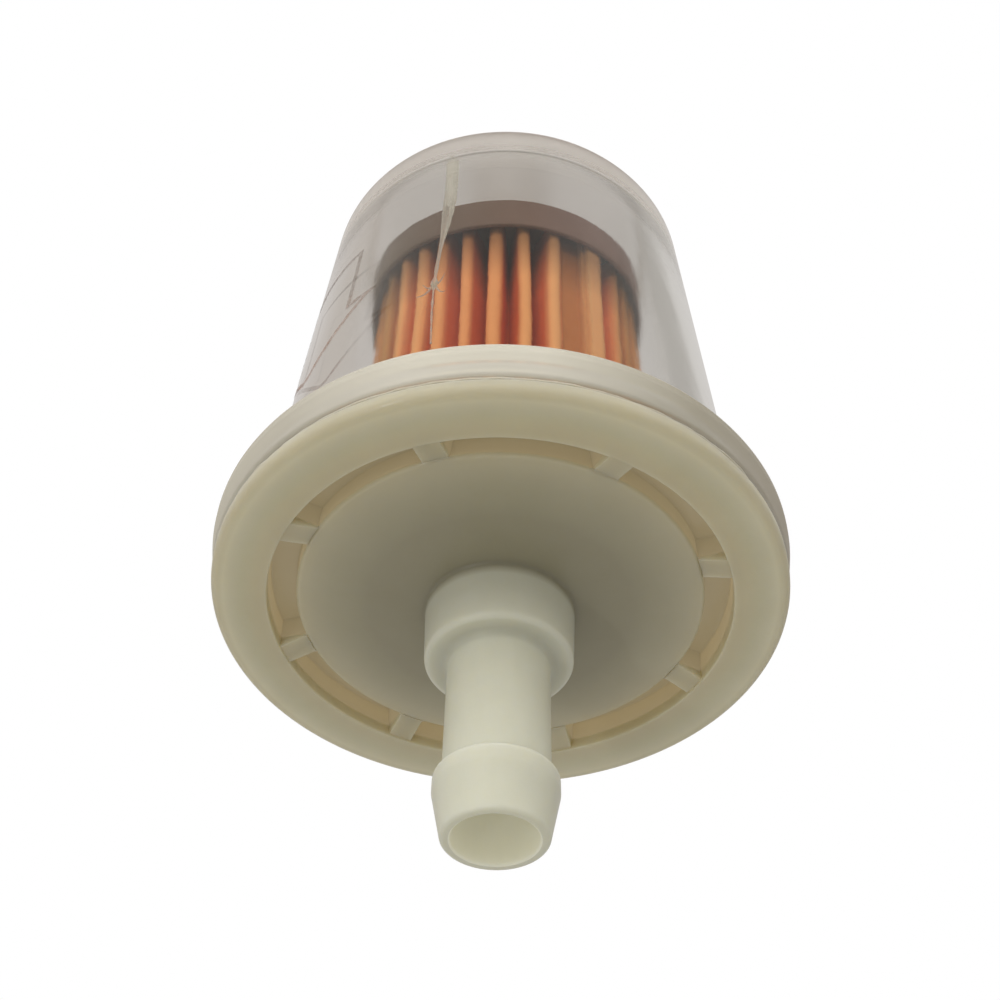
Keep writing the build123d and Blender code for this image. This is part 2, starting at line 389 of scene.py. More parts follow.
def clear_nylon():
    """Clear moulded nylon: refracts, with a milky flange whose haze has painted shade towards its sides, a
    hazy end, flow marks and scuffs.
    """
    s = new_material("clear_nylon")
    flow = s.noise(120, 3, 0.5, s.stretched(1, 1, 0.35))
    scuffs = s.noise(2600, 5, 0.7, s.stretched(1, 1, 0.2))
    normal = s.bump(s.math("ADD", flow, s.math("MULTIPLY", scuffs, 0.05)), 0.35, 0.00012)
    radius, height = radius_and_height(s)
    x = s.split(s.position())[0]
    in_flange = s.math("MULTIPLY", s.ramp(s.math("DIVIDE", height, FLANGE_TOP), [
        (0.8, (1, 1, 1)),
        (0.99, (0.5, 0.5, 0.5)),
        (1.0, (0, 0, 0)),
    ]), s.math("GREATER_THAN", radius, 15.0))
    at_end = s.ramp(s.math("DIVIDE", height, BOWL_END), [
        (0.86, (0, 0, 0)),
        (0.95, (1, 1, 1)),
    ])
    haze_level = s.math("MULTIPLY_ADD", at_end, 0.15, s.math("MULTIPLY", scuffs, 0.008))
    haze_level = s.math("MULTIPLY_ADD", in_flange, s.math("MULTIPLY_ADD", flow, 0.2, 0.7), haze_level)
    # Painted shade: the flange's haze colour is lighter in the middle and darker towards the sides, darkest
    # on the +X side.
    across = s.ramp(s.math("MULTIPLY_ADD", x, 0.5 / (FLANGE_RADIUS * MM), 0.5), [
        (0.0, (0.56, 0.53, 0.45)),
        (0.15, (0.51, 0.48, 0.41)),
        (0.35, (0.66, 0.63, 0.55)),
        (0.55, (0.66, 0.63, 0.55)),
        (0.8, (0.40, 0.37, 0.30)),
        (1.0, (0.43, 0.39, 0.33)),
    ])
    haze = s.node("ShaderNodeBsdfDiffuse", Roughness=0.5, Normal=normal,
                  Color=s.mix_colour(at_end, across, (0.84, 0.80, 0.75)))
    bend = s.node("ShaderNodeBsdfRefraction", IOR=NYLON_IOR, Normal=normal,
                  Roughness=s.math("MULTIPLY_ADD", at_end, 0.3, 0.03),
                  Color=s.mix_colour(flow, (0.997, 0.996, 0.994), (0.99, 0.988, 0.985)))
    gloss = s.node("ShaderNodeBsdfGlossy", Roughness=0.03, Color=(1, 1, 1, 1), Normal=normal)
    fresnel = s.node("ShaderNodeFresnel", IOR=NYLON_IOR, Normal=normal)
    clear = s.mix_shader(fresnel.outputs[0], bend.outputs[0], gloss.outputs[0])
    surface = s.mix_shader(haze_level, clear, haze.outputs[0])
    return s.finish(pass_through(s, surface, (0.96, 0.955, 0.95)))


def cream_nylon():
    """Cream translucent nylon with a few dark specks, painted shade in the dish, a painted highlight near the
    rim, a groove painted dark brown as painted shade, and a painted glow in the groove and bore.
    """
    s = new_material("cream_nylon")
    radius, height = radius_and_height(s)
    cloud = s.noise(260, 4, 0.55)
    grain = s.noise(5200, 4, 0.6)
    skin = s.noise(900, 3, 0.5, s.stretched(1, 1, 0.5))
    nipple = s.mix_colour(cloud, (0.635, 0.635, 0.545), (0.56, 0.56, 0.475))
    disc = s.mix_colour(cloud, (0.57, 0.51, 0.355), (0.52, 0.46, 0.31))
    in_disc = s.math("SMOOTH_MIN", s.math("MULTIPLY_ADD", height, 1.2, 1.0), 1.0, 0.2)
    in_disc = s.math("MAXIMUM", in_disc, 0.0)
    colour = s.mix_colour(in_disc, nipple, disc)
    # Painted shade and light: the dish is darkened towards the middle and the ring is brightened towards its
    # rounded rim.
    shade = s.ramp(s.math("DIVIDE", radius, FLANGE_RADIUS), [
        (0.27, (0.59, 0.61, 0.62)),
        (0.45, (0.65, 0.67, 0.69)),
        (0.58, (0.82, 0.85, 0.88)),
        (0.66, (0.96, 0.99, 1.04)),
        (0.82, (1.03, 1.06, 1.10)),
        (0.88, (1.14, 1.2, 1.24)),
        (0.94, (1.3, 1.36, 1.5)),
        (0.96, (1.08, 1.12, 1.22)),
        (0.98, (0.9, 0.93, 1.03)),
    ])
    colour = s.mix_colour(in_disc, colour, s.tinted(colour, shade))
    # Painted shade: the groove's colour is darkened and browned.
    in_groove = s.math("MULTIPLY", s.math("GREATER_THAN", radius, GROOVE_INNER_RADIUS - 0.05),
                       s.math("LESS_THAN", radius, GROOVE_OUTER_RADIUS + 0.05))
    in_groove = s.math("MULTIPLY", in_groove, s.math("GREATER_THAN", height, 0.9))
    colour = s.mix_colour(s.math("MULTIPLY", in_groove, 0.9), colour, (0.27, 0.235, 0.17))
    in_bore = s.math("MULTIPLY", s.math("LESS_THAN", radius, BORE_RADIUS + 0.1),
                     s.math("LESS_THAN", height, 0.5))
    # Painted light: emission makes the groove and the bore's mouth glow, though no lamp lights them.
    painted_glow = s.mix_colour(in_groove, (0, 0, 0), (0.165, 0.132, 0.074))
    painted_glow = s.mix_colour(in_bore, painted_glow, (0.125, 0.12, 0.10))
    specks = s.node("ShaderNodeTexVoronoi", Scale=260, Vector=s.position())
    chosen = s.node("ShaderNodeTexWhiteNoise", Vector=specks.outputs["Position"])
    dot = s.math("LESS_THAN", specks.outputs["Distance"], 0.028)
    dot = s.math("MULTIPLY", dot, s.math("GREATER_THAN", chosen.outputs["Value"], 0.9))
    colour = s.mix_colour(s.math("MULTIPLY", dot, 0.85), colour, (0.03, 0.025, 0.015))
    relief = s.math("ADD", s.math("MULTIPLY", skin, 0.8), s.math("MULTIPLY", grain, 0.12))
    surface = s.node(
        "ShaderNodeBsdfPrincipled",
        Base_Color=colour,
        Normal=s.bump(relief, 0.5, 0.00006),
        Roughness=s.math("MULTIPLY_ADD", skin, 0.16, 0.3),
        IOR=NYLON_IOR,
        Specular_IOR_Level=0.45,
        Subsurface_Weight=1.0,
        Subsurface_Radius=(1.0, 0.9, 0.7),
        Subsurface_Scale=0.0022,
        Emission_Color=painted_glow,
        Emission_Strength=1.0,
        Coat_Weight=0.2,
        Coat_Roughness=0.09,
    )
    return s.finish(surface.outputs[0])


def weld_melt():
    """Melted and set nylon: cloudy and lumpy."""
    s = new_material("weld_melt")
    lumps = s.noise(1500, 5, 0.65)
    surface = s.node(
        "ShaderNodeBsdfPrincipled",
        Base_Color=s.mix_colour(lumps, (0.42, 0.39, 0.32), (0.54, 0.51, 0.43)),
        Normal=s.bump(lumps, 0.6, 0.0001),
        Roughness=0.45,
        IOR=NYLON_IOR,
        Subsurface_Weight=0.4,
        Subsurface_Radius=(1.0, 0.85, 0.6),
        Subsurface_Scale=0.0006,
    )
    return s.finish(surface.outputs[0])


def filter_paper():
    """Resin-treated filter paper: fibres, faint corrugation and a painted highlight on the outer folds.

    It is darker where adhesive has soaked the lap, with painted shade at the sides and a painted shadow of
    the top cap near the top.
    """
    s = new_material("filter_paper")
    radius, height = radius_and_height(s)
    x = s.split(s.position())[0]
    fibres = s.noise(3400, 6, 0.75, s.stretched(1, 1, 0.45))
    clouds = s.noise(420, 4, 0.6)
    body = s.mix_colour(clouds, (0.80, 0.162, 0.042), (0.88, 0.20, 0.058))
    body = s.mix_colour(fibres, body, s.tinted(body, (0.72, 0.66, 0.6)))
    soaked = s.math("LESS_THAN", distance_from(s, LAP_ANGLE, LAP_RADIUS), 1.25 * MM)
    body = s.mix_colour(soaked, body, s.tinted(body, (0.62, 0.95, 0.85)))
    stained = s.math("LESS_THAN", distance_from(s, STAIN_ANGLE, STAIN_RADIUS), 1.6 * MM)
    body = s.mix_colour(stained, body, s.tinted(body, (0.66, 0.85, 0.8)))
    # Painted highlight: the outer folds are painted paler towards the crest radius.
    painted_fold_highlight = s.between(s.math("MULTIPLY_ADD", radius, 1.1, -11.1))
    pale = s.mix_colour(fibres, (0.86, 0.46, 0.18), (0.76, 0.39, 0.145))
    colour = s.mix_colour(s.math("MULTIPLY", painted_fold_highlight, 0.8), body, pale)
    # Painted shade: the paper is darkened towards the sides.
    to_side = s.math("DIVIDE", s.math("ABSOLUTE", x), PLEAT_OUTER_RADIUS * MM)
    colour = s.tinted(colour, s.ramp(to_side, [
        (0.69, (1, 1, 1)),
        (0.77, (0.62, 0.68, 0.6)),
        (0.86, (0.62, 0.66, 0.5)),
        (0.94, (0.75, 0.76, 0.68)),
    ]))
    # Painted shadow of the top cap: the paper is darkened near its top.
    colour = s.tinted(colour, s.ramp(s.math("DIVIDE", height, PAPER_TOP), [
        (0.72, (1, 1, 1)),
        (0.88, (0.42, 0.44, 0.46)),
    ]))
    wave = s.node("ShaderNodeTexWave", Scale=420, Distortion=1.2, Detail=1.0, bands_direction="Z",
                  Vector=s.position())
    relief = s.math("ADD", s.math("MULTIPLY", fibres, 0.7), s.math("MULTIPLY", wave.outputs["Fac"], 0.12))
    surface = s.node(
        "ShaderNodeBsdfPrincipled",
        Base_Color=colour,
        Normal=s.bump(relief, 0.5, 0.00012),
        Roughness=0.82,
        IOR=1.4,
        Specular_IOR_Level=0.1,
    )
    through = s.node("ShaderNodeBsdfTranslucent", Color=colour)
    return s.finish(s.mix_shader(0.14, surface.outputs[0], through.outputs[0]))


def cap_board():
    """Matt mauve-grey end cap, with soft blotches and a greenish cast on one side."""
    s = new_material("cap_board")
    x = s.split(s.position())[0]
    blotches = s.noise(300, 5, 0.6)
    grain = s.noise(4200, 4, 0.7)
    warm = s.mix_colour(blotches, (0.145, 0.070, 0.046), (0.18, 0.092, 0.066))
    green = s.mix_colour(blotches, (0.085, 0.064, 0.034), (0.115, 0.09, 0.055))
    to_green = s.between(s.math("MULTIPLY_ADD", x, -1 / (22 * MM), 0.4))
    surface = s.node(
        "ShaderNodeBsdfPrincipled",
        Base_Color=s.mix_colour(to_green, warm, green),
        Normal=s.bump(grain, 0.3, 0.00005),
        Roughness=0.6,
        IOR=1.45,
    )
    return s.finish(surface.outputs[0])


def clear_adhesive(name):
    """Cured clear adhesive: glossy, slightly yellow, with cloudy streaks."""
    s = new_material(name)
    streaks = s.noise(1400, 4, 0.6, s.stretched(1, 1, 0.15))
    normal = s.bump(streaks, 0.4, 0.00008)
    bend = s.node("ShaderNodeBsdfRefraction", Roughness=0.08, IOR=ADHESIVE_IOR, Normal=normal,
                  Color=(0.93, 0.92, 0.86, 1))
    gloss = s.node("ShaderNodeBsdfGlossy", Roughness=0.12, Normal=normal)
    fresnel = s.node("ShaderNodeFresnel", IOR=ADHESIVE_IOR, Normal=normal)
    milk = s.node("ShaderNodeBsdfTranslucent", Color=(0.95, 0.93, 0.84, 1))
    skin = s.node("ShaderNodeBsdfDiffuse", Color=(0.92, 0.90, 0.80, 1))
    clear = s.mix_shader(fresnel.outputs[0], bend.outputs[0], gloss.outputs[0])
    cloudy = s.mix_shader(0.5, milk.outputs[0], skin.outputs[0])
    surface = s.mix_shader(s.math("MULTIPLY_ADD", streaks, 0.4, 0.05), clear, cloudy)
    return s.finish(pass_through(s, surface, (0.9, 0.89, 0.84)))


def potting(name, dark, light):
    """Cloudy set adhesive that holds the paper's edges."""
    s = new_material(name)
    cloud = s.noise(700, 5, 0.6)
    surface = s.node(
        "ShaderNodeBsdfPrincipled",
        Base_Color=s.mix_colour(cloud, dark, light),
        Normal=s.bump(cloud, 0.4, 0.00015),
        Roughness=0.35,
        IOR=1.48,
        Subsurface_Weight=0.3,
        Subsurface_Radius=(1.0, 0.8, 0.5),
        Subsurface_Scale=0.0006,
    )
    return s.finish(surface.outputs[0])


def faded_ink():
    """Thin printed ink, worn through in patches and browner towards the arrow's head."""
    s = new_material("faded_ink")
    height = radius_and_height(s)[1]
    worn = s.noise(2300, 5, 0.75)
    low = s.between(s.math("MULTIPLY_ADD", height, -0.16, 3.5))
    ink = s.node("ShaderNodeBsdfPrincipled", Roughness=0.6,
                 Base_Color=s.mix_colour(low, (0.27, 0.23, 0.20), (0.38, 0.22, 0.145)))
    bare = s.node("ShaderNodeBsdfTransparent")
    cover = s.ramp(worn, [(0.35, (0.06,) * 3), (0.62, (0.46,) * 3)])
    return s.finish(s.mix_shader(cover, bare.outputs[0], ink.outputs[0]))


# ---------------------------------------------------------------- nipples and mouldings
def nipple_outline(mouth, direction):
    """Outside of a hose nipple from its mouth to its boss root. direction is +1 when it rises."""
    shape = [
        (BORE_RADIUS, 0, 0.15),
        (TIP_RADIUS, 0, 0.3),
        (BARB_RADIUS, BARB_CREST, 0.5),
        (BARB_RADIUS, BARB_BACK, 0.28),
        (SHANK_RADIUS, BARB_BACK, 0.12),
        (SHANK_RADIUS, BOSS_FACE, 0.5),
        (BOSS_RADIUS, BOSS_FACE, 0.4),
        (BOSS_ROOT_RADIUS, BOSS_ROOT, 0.2),
    ]
    return [(r, mouth + direction * z, rounding) for r, z, rounding in shape]


def moulded(angle, outline, seed, size):
    """The outline with the slight unevenness of a moulded surface at an angle."""
    made = []
    for r, z in outline:
        push = ripple(angle, seed + z * 0.07, size, 1.6)
        made.append((r + push * min(1.0, r / 8), z))
    return made


def make_bowl():
    """Clear cup with its flange, tapered wall and inlet nipple."""
    corners = [
        (BORE_RADIUS, CAVITY_TOP, 0.2),
        (CAVITY_END_RADIUS, CAVITY_TOP, 1.0),
        (CAVITY_FOOT_RADIUS, COUNTERBORE_TOP, 0.25),
        (COUNTERBORE_RADIUS, COUNTERBORE_TOP, 0.15),
        (COUNTERBORE_RADIUS, FLANGE_BOTTOM, 0.1),
        (FLANGE_FOOT_RADIUS, FLANGE_BOTTOM, 0.3),
        (FLANGE_RADIUS, FLANGE_DRAW_IN_TOP, 0.8),
        (FLANGE_RADIUS, FLANGE_TOP, 0.7),
        (WALL_FOOT_RADIUS, FLANGE_TOP, 0.5),
        (WALL_END_RADIUS, BOWL_END, 0.35),
    ]
    corners += nipple_outline(INLET_END, -1)[::-1]
    outline = subdivided(rounded(corners), 1.2)

    def at(angle):
        return moulded(angle, outline, 3.0, 0.03)

    verts, faces = lathe(at, even_angles(360))
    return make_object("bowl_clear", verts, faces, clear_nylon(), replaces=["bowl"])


def web_angles():
    """Angles to turn the cap's outline through, in radians: close ones along the sides of each web."""
    angles = []
    pitch = 360 / WEB_COUNT
    side = math.degrees(WEB_HALF_WIDTH / 15)
    for w in range(WEB_COUNT):
        middle = WEB_FIRST_ANGLE + pitch * w
        angles += [middle + t for t in (-2.4, -1.2, 0, 1.2, 2.4)]
        for sign in (-1, 1):
            angles += [middle + sign * (side - 0.8 + 0.12 * k) for k in range(15)]
        angles += [middle + side + 1.6 + k for k in range(int(pitch - 2 * side - 2))]
    return [math.radians(a) for a in sorted(angles)]


def make_base_cap():
    """Cream cap: ring, groove crossed by webs, sunk dish, spigot, adhesive well and outlet nipple."""
    flat = [
        (CAP_RADIUS, 0, 0.6),
        (CAP_RADIUS, RING_HEIGHT, 0.25),
        (SPIGOT_RADIUS, RING_HEIGHT, 0.1),
        (SPIGOT_RADIUS, SPIGOT_TOP, 0.25),
        (WELL_RADIUS, SPIGOT_TOP, 0.25),
        (WELL_RADIUS, WELL_FLOOR, 0.3),
        (BORE_RADIUS, WELL_FLOOR, 0.15),
    ]
    nipple = nipple_outline(-BASE_Z, 1)
    nipple[-1] = (nipple[-1][0], 0.03, 0.25)
    dish = [
        (GROOVE_INNER_RADIUS, DISH_RIM_HEIGHT, 0.28),
        (GROOVE_INNER_RADIUS, GROOVE_CEILING, 0.15),
        (GROOVE_OUTER_RADIUS, GROOVE_CEILING, 0.15),
        (GROOVE_OUTER_RADIUS, 0, 0.1),
    ]
    outline = subdivided(rounded(flat + nipple + dish), 0.6)

    def at(angle):
        shaped = []
        turn = (math.degrees(angle) - WEB_FIRST_ANGLE) % (360 / WEB_COUNT)
        turn = min(turn, 360 / WEB_COUNT - turn)
        for r, z in outline:
            in_groove = GROOVE_INNER_RADIUS - 0.01 <= r <= GROOVE_OUTER_RADIUS + 0.01
            if in_groove and z <= GROOVE_CEILING + 0.01 and r > 10:
                off = r * math.sin(math.radians(turn)) - WEB_HALF_WIDTH
                across = (r - GROOVE_INNER_RADIUS) / (GROOVE_OUTER_RADIUS - GROOVE_INNER_RADIUS)
                level = DISH_RIM_HEIGHT + (WEB_RING_STEP - DISH_RIM_HEIGHT) * across
                filled = min(z, max(level, 0.0) + 0.02 * z)
                z = filled + (z - filled) * smooth(0.5 + off / 0.3)
            shaped.append((r, z))
        return moulded(angle, shaped, 11.0, 0.025)

    verts, faces = lathe(at, web_angles())
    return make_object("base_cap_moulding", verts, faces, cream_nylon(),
                       replaces=["base_cap"])


def make_weld_seam():
    """Melted ring squeezed unevenly out of the joint between the cap and the bowl's flange."""
    def at(angle):
        squeeze = SEAM_OUTER_RADIUS + ripple(angle, 5.0, 0.1, 5) + ripple(angle, 9.0, 0.06, 22)
        lift = ripple(angle, 2.0, 0.05, 6)
        return rounded([
            (SEAM_INNER_RADIUS, RING_HEIGHT, 0),
            (squeeze, RING_HEIGHT + 0.01 + max(lift, 0), 0.1),
            (squeeze, FLANGE_BOTTOM - 0.01 + min(lift, 0), 0.1),
            (SEAM_INNER_RADIUS, FLANGE_BOTTOM, 0),
        ], 5)

    verts, faces = lathe(at, even_angles(900))
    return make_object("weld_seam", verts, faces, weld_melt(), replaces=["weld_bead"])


# ---------------------------------------------------------------- filter element
def fold_angles():
    """Angles of the outer folds from the right of the glued lap round to its left."""
    right = [FRONT + a for a in FOLDS_RIGHT_OF_LAP]
    left = [FRONT + 360 + a for a in FOLDS_LEFT_OF_LAP]
    hidden = FOLD_COUNT - len(left) - len(right)
    pitch = (left[0] - right[-1]) / (hidden + 1)
    back = [right[-1] + pitch * (i + 1) + random.uniform(-1.6, 1.6) for i in range(hidden)]
    return right + back + left


def polar(angle, radius, side=0.0):
    """Point (x, y) at a radius along an angle in degrees, moved sideways to its left."""
    a = math.radians(angle)
    return Vector((radius * math.cos(a) - side * math.sin(a), radius * math.sin(a) + side * math.cos(a)))


def fold(corner, before, after, radius, steps):
    """Curve that rounds a corner between two neighbouring points."""
    a, b = (before - corner).normalized(), (after - corner).normalized()
    reach = min(radius, 0.45 * (before - corner).length, 0.45 * (after - corner).length)
    start, end = corner + a * reach, corner + b * reach
    points = []
    for k in range(steps + 1):
        t = k / steps
        points.append(start.lerp(corner, t).lerp(corner.lerp(end, t), t))
    return points


def pleat_line(folds, height):
    """Middle line of the paper at a height above the base cap's underside."""
    lean = (height - 16) / 15
    crests = []
    for i, angle in enumerate(folds):
        sway = 0.8 * noise.noise(Vector((i * 3.1, height * 0.09, 0.0))) + 0.3 * lean * math.sin(i * 2.3)
        crests.append(angle + sway)
    corners = []
    for i, here in enumerate(crests):
        half = FOLD_HALF_WIDTH + 0.05 * math.sin(i * 4.1)
        half += 0.05 * noise.noise(Vector((i * 2.0, height * 0.15, 8)))
        crest = PLEAT_OUTER_RADIUS - 0.1 + 0.12 * math.sin(i * 5.3)
        if i == 0:
            half += DOUBLED_FOLD
            crest += 0.14
        corners += [polar(here, crest, side * half) for side in (-1, 1)]
        if i + 1 < len(crests):
            there = crests[i + 1]
            valley = (here + there) / 2 + 0.5 * math.sin(i * 1.7)
            spread = min(1.0, (there - here) / 11)
            deep = PLEAT_OUTER_RADIUS - (PLEAT_OUTER_RADIUS - PLEAT_INNER_RADIUS) * (0.45 + 0.55 * spread)
            deep += 0.2 * math.sin(i * 2.9) + 0.1 * noise.noise(Vector((i, height * 0.1, 4)))
            corners += [polar(valley, deep, side * VALLEY_HALF_WIDTH) for side in (-1, 1)]
    across = crests[0] + 360 - crests[-1]
    corners += [polar(crests[-1] + across * t, LAP_RADIUS) for t in (0.2, 0.8)]
    corners.append(corners[0].lerp(corners[-1], 0.15))
    line = [corners[0]]
    for i in range(1, len(corners) - 1):
        line += fold(corners[i], corners[i - 1], corners[i + 1], FOLD_ROUNDING, 5)
    line.append(corners[-1])
    return line


def both_sides(line, thickness):
    """Closed outline of a strip of even thickness about an open line."""
    left, right = [], []
    for i, point in enumerate(line):
        along = (line[min(i + 1, len(line) - 1)] - line[max(i - 1, 0)]).normalized()
        across = Vector((-along.y, along.x)) * (thickness / 2)
        left.append(point + across)
        right.append(point - across)
    return left + right[::-1]


def make_paper():
    """The folded strip, with uneven folds that sway a little from bottom to top."""
    folds = fold_angles()
    rows = 34
    verts = []
    for k in range(rows + 1):
        height = PAPER_BOTTOM + (PAPER_TOP - PAPER_BOTTOM) * k / rows
        outline = both_sides(pleat_line(folds, height), PAPER_THICKNESS)
        size = len(outline)
        verts += [(p.x, p.y, BASE_Z + height) for p in outline]
    faces = ring_faces(rows + 1, size)
    half = size // 2
    for k in (0, rows):
        for i in range(half - 1):
            a, b = k * size + i, k * size + i + 1
            c, d = k * size + size - 2 - i, k * size + size - 1 - i
            faces.append((a, b, c, d))
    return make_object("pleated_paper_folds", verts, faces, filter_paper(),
                       replaces=["pleated_paper"], sharp=60)


def make_side_seam():
    """Uneven adhesive line down the inside of the flat face where the paper's ends lap."""
    verts = []
    rows, ring = 60, 12
    bottom, top = BASE_ADHESIVE_TOP, PAPER_TOP - 0.9
    face = LAP_RADIUS - PAPER_THICKNESS / 2 - 0.02
    for k in range(rows + 1):
        height = bottom + (top - bottom) * k / rows
        wide = 0.75 + 0.18 * noise.noise(Vector((2.0, height * 0.5, 1.0)))
        thick = 0.07 + 0.03 * noise.noise(Vector((5.0, height * 0.7, 3.0)))
        for i in range(ring):
            t = TAU * i / ring
            p = polar(LAP_ANGLE, face + thick * math.cos(t), wide * math.sin(t))
            verts.append((p.x, p.y, BASE_Z + height))
    faces = ring_faces(rows + 1, ring) + ends(rows + 1, ring)
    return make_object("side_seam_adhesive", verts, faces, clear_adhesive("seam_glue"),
                       replaces=["paper_side_seam"], sharp=60)


def make_top_cap():
    """Pressed cap over the inlet end of the paper, slightly out of round."""
    outline = subdivided(rounded([
        (0.001, TOP_CAP_TOP - 0.25, 0),
        (4.0, TOP_CAP_TOP - 0.25, 0.4),
        (4.6, TOP_CAP_TOP, 0.4),
        (TOP_CAP_RADIUS, TOP_CAP_TOP, 0.5),
        (TOP_CAP_RADIUS, TOP_CAP_SKIRT_BOTTOM, 0.12),
        (TOP_CAP_RADIUS - TOP_CAP_SHEET, TOP_CAP_SKIRT_BOTTOM, 0.12),
        (TOP_CAP_RADIUS - TOP_CAP_SHEET, TOP_CAP_TOP - 0.6, 0.2),
        (0.001, TOP_CAP_TOP - 0.6, 0),
    ]), 1.0)

    def at(angle):
        return moulded(angle, outline, 21.0, 0.12)

    verts, faces = lathe(at, even_angles(240))
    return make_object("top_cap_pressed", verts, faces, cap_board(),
                       replaces=["element_top_cap"])


def make_potting():
    """Set adhesive round the paper's edges, with a wavy surface where it wetted the folds; the top one is
    dark as painted shade.
    """
    def base(angle):
        wave = ripple(angle, 31.0, 0.35, 7)
        return rounded([
            (POTTING_BORE_RADIUS, WELL_FLOOR, 0.1),
            (WELL_RADIUS - 0.02, WELL_FLOOR, 0.1),
            (WELL_RADIUS - 0.02, BASE_ADHESIVE_TOP + 0.15, 0.1),
            (WELL_RADIUS - 0.6, BASE_ADHESIVE_TOP - 0.15, 0.3),
            (PLEAT_OUTER_RADIUS + 0.6, BASE_ADHESIVE_TOP - 0.15 + wave, 0.5),
            (PLEAT_INNER_RADIUS, BASE_ADHESIVE_TOP + wave * 0.5, 0.4),
            (POTTING_BORE_RADIUS, BASE_ADHESIVE_TOP - 0.3, 0.2),
        ], 4)

    def top(angle):
        wave = ripple(angle, 41.0, 0.4, 8)
        low = TOP_CAP_TOP - 2.0
        return rounded([
            (0.001, low, 0),
            (PLEAT_INNER_RADIUS, low - 0.1 + wave * 0.5, 0.3),
            (PLEAT_OUTER_RADIUS + 0.1, low + wave * 0.4, 0.3),
            (TOP_CAP_RADIUS - 0.5, low - 0.2, 0.1),
            (TOP_CAP_RADIUS - 0.5, TOP_CAP_TOP - 0.62, 0.1),
            (0.001, TOP_CAP_TOP - 0.62, 0),
        ], 4)

    verts, faces = lathe(base, even_angles(300))
    make_object("base_potting", verts, faces, potting("potting", (0.46, 0.38, 0.24), (0.58, 0.50, 0.36)),
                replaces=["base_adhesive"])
    # Painted shade: the top potting is the same adhesive as the base potting, given dark colours for the
    # shade under the top cap.
    verts, faces = lathe(top, even_angles(300))
    make_object("top_potting", verts, faces, potting("potting_painted_shade", (0.09, 0.06, 0.045), (0.15, 0.11, 0.08)),
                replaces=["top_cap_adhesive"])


# ---------------------------------------------------------------- strand
def wall_inside(height):
    """Radius of the bowl's cavity at a height."""
    rise = (height - COUNTERBORE_TOP) / (CAVITY_TOP - COUNTERBORE_TOP)
    return CAVITY_FOOT_RADIUS + (CAVITY_END_RADIUS - CAVITY_FOOT_RADIUS) * rise


def tube(path, widths, ring=10):
    """Closed tube along a path. widths gives (radius along the wall, radius across it) at each point."""
    verts = []
    for i, point in enumerate(path):
        along = (path[min(i + 1, len(path) - 1)] - path[max(i - 1, 0)]).normalized()
        out = Vector((point.x, point.y, 0)).normalized()
        side = along.cross(out).normalized()
        out = side.cross(along).normalized()
        wide, deep = widths[i]
        for k in range(ring):
            t = TAU * k / ring
            verts.append(tuple(point + side * (wide * math.cos(t)) + out * (deep * math.sin(t))))
    return verts, ring_faces(len(path), ring) + ends(len(path), ring)


def joined(parts):
    """Several (verts, faces) as one."""
    verts, faces = [], []
    for more_verts, more_faces in parts:
        start = len(verts)
        verts += more_verts
        faces += [tuple(start + i for i in face) for face in more_faces]
    return verts, faces


def strand_place(height, turn=0.0, gap=0.0):
    """Point of the strand at a height, on the inside of the bowl's wall."""
    down = (STRAND_TOP - height) / (STRAND_TOP - STRAND_BOTTOM)
    sway = 0.9 * math.sin(down * 6.5)
    p = polar(STRAND_ANGLE + sway + turn, wall_inside(height) - 0.2 - gap)
    return Vector((p.x, p.y, BASE_Z + height))


def make_strand():
    """Cured adhesive run: a flat band on the wall that necks to a hair, with a knot and loose ends."""
    path, widths = [], []
    steps = 120
    for i in range(steps + 1):
        height = STRAND_TOP - (STRAND_TOP - STRAND_BOTTOM) * i / steps
        neck = smooth((height - NECK_START) / (NECK_END - NECK_START))
        hair = 0.06 + 0.06 * smooth((height - 18.0) / 3.0)
        wide = hair + (STRAND_HALF_WIDTH - hair) * neck
        wide += 0.03 * noise.noise(Vector((height * 0.8, 0, 0)))
        end = smooth(i / 3) * 0.7 + 0.3
        for at, size, spread in ((KNOT_HEIGHT, 0.2, 0.5), (KNOT_HEIGHT - 2.6, 0.04, 0.4)):
            wide += size * math.exp(-((height - at) / spread) ** 2)
        path.append(strand_place(height))
        widths.append((wide * end, min(STRAND_HALF_DEPTH, wide * 0.8)))
    parts = [tube(path, widths)]
    for reach, drop in ((-5.5, 0.9), (-4.0, -0.5), (3.2, 1.1), (2.4, -1.3)):
        loose, sizes = [], []
        for k in range(13):
            t = k / 12
            height = KNOT_HEIGHT - drop * t - 0.5 * math.sin(t * math.pi)
            loose.append(strand_place(height, reach * t, 0.05 + 0.1 * t))
            sizes.append((0.07 * (1 - t) + 0.02, 0.06 * (1 - t) + 0.02))
        parts.append(tube(loose, sizes, 8))
    verts, faces = joined(parts)
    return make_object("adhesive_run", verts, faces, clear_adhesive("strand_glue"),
                       replaces=["adhesive_strand"], sharp=80)


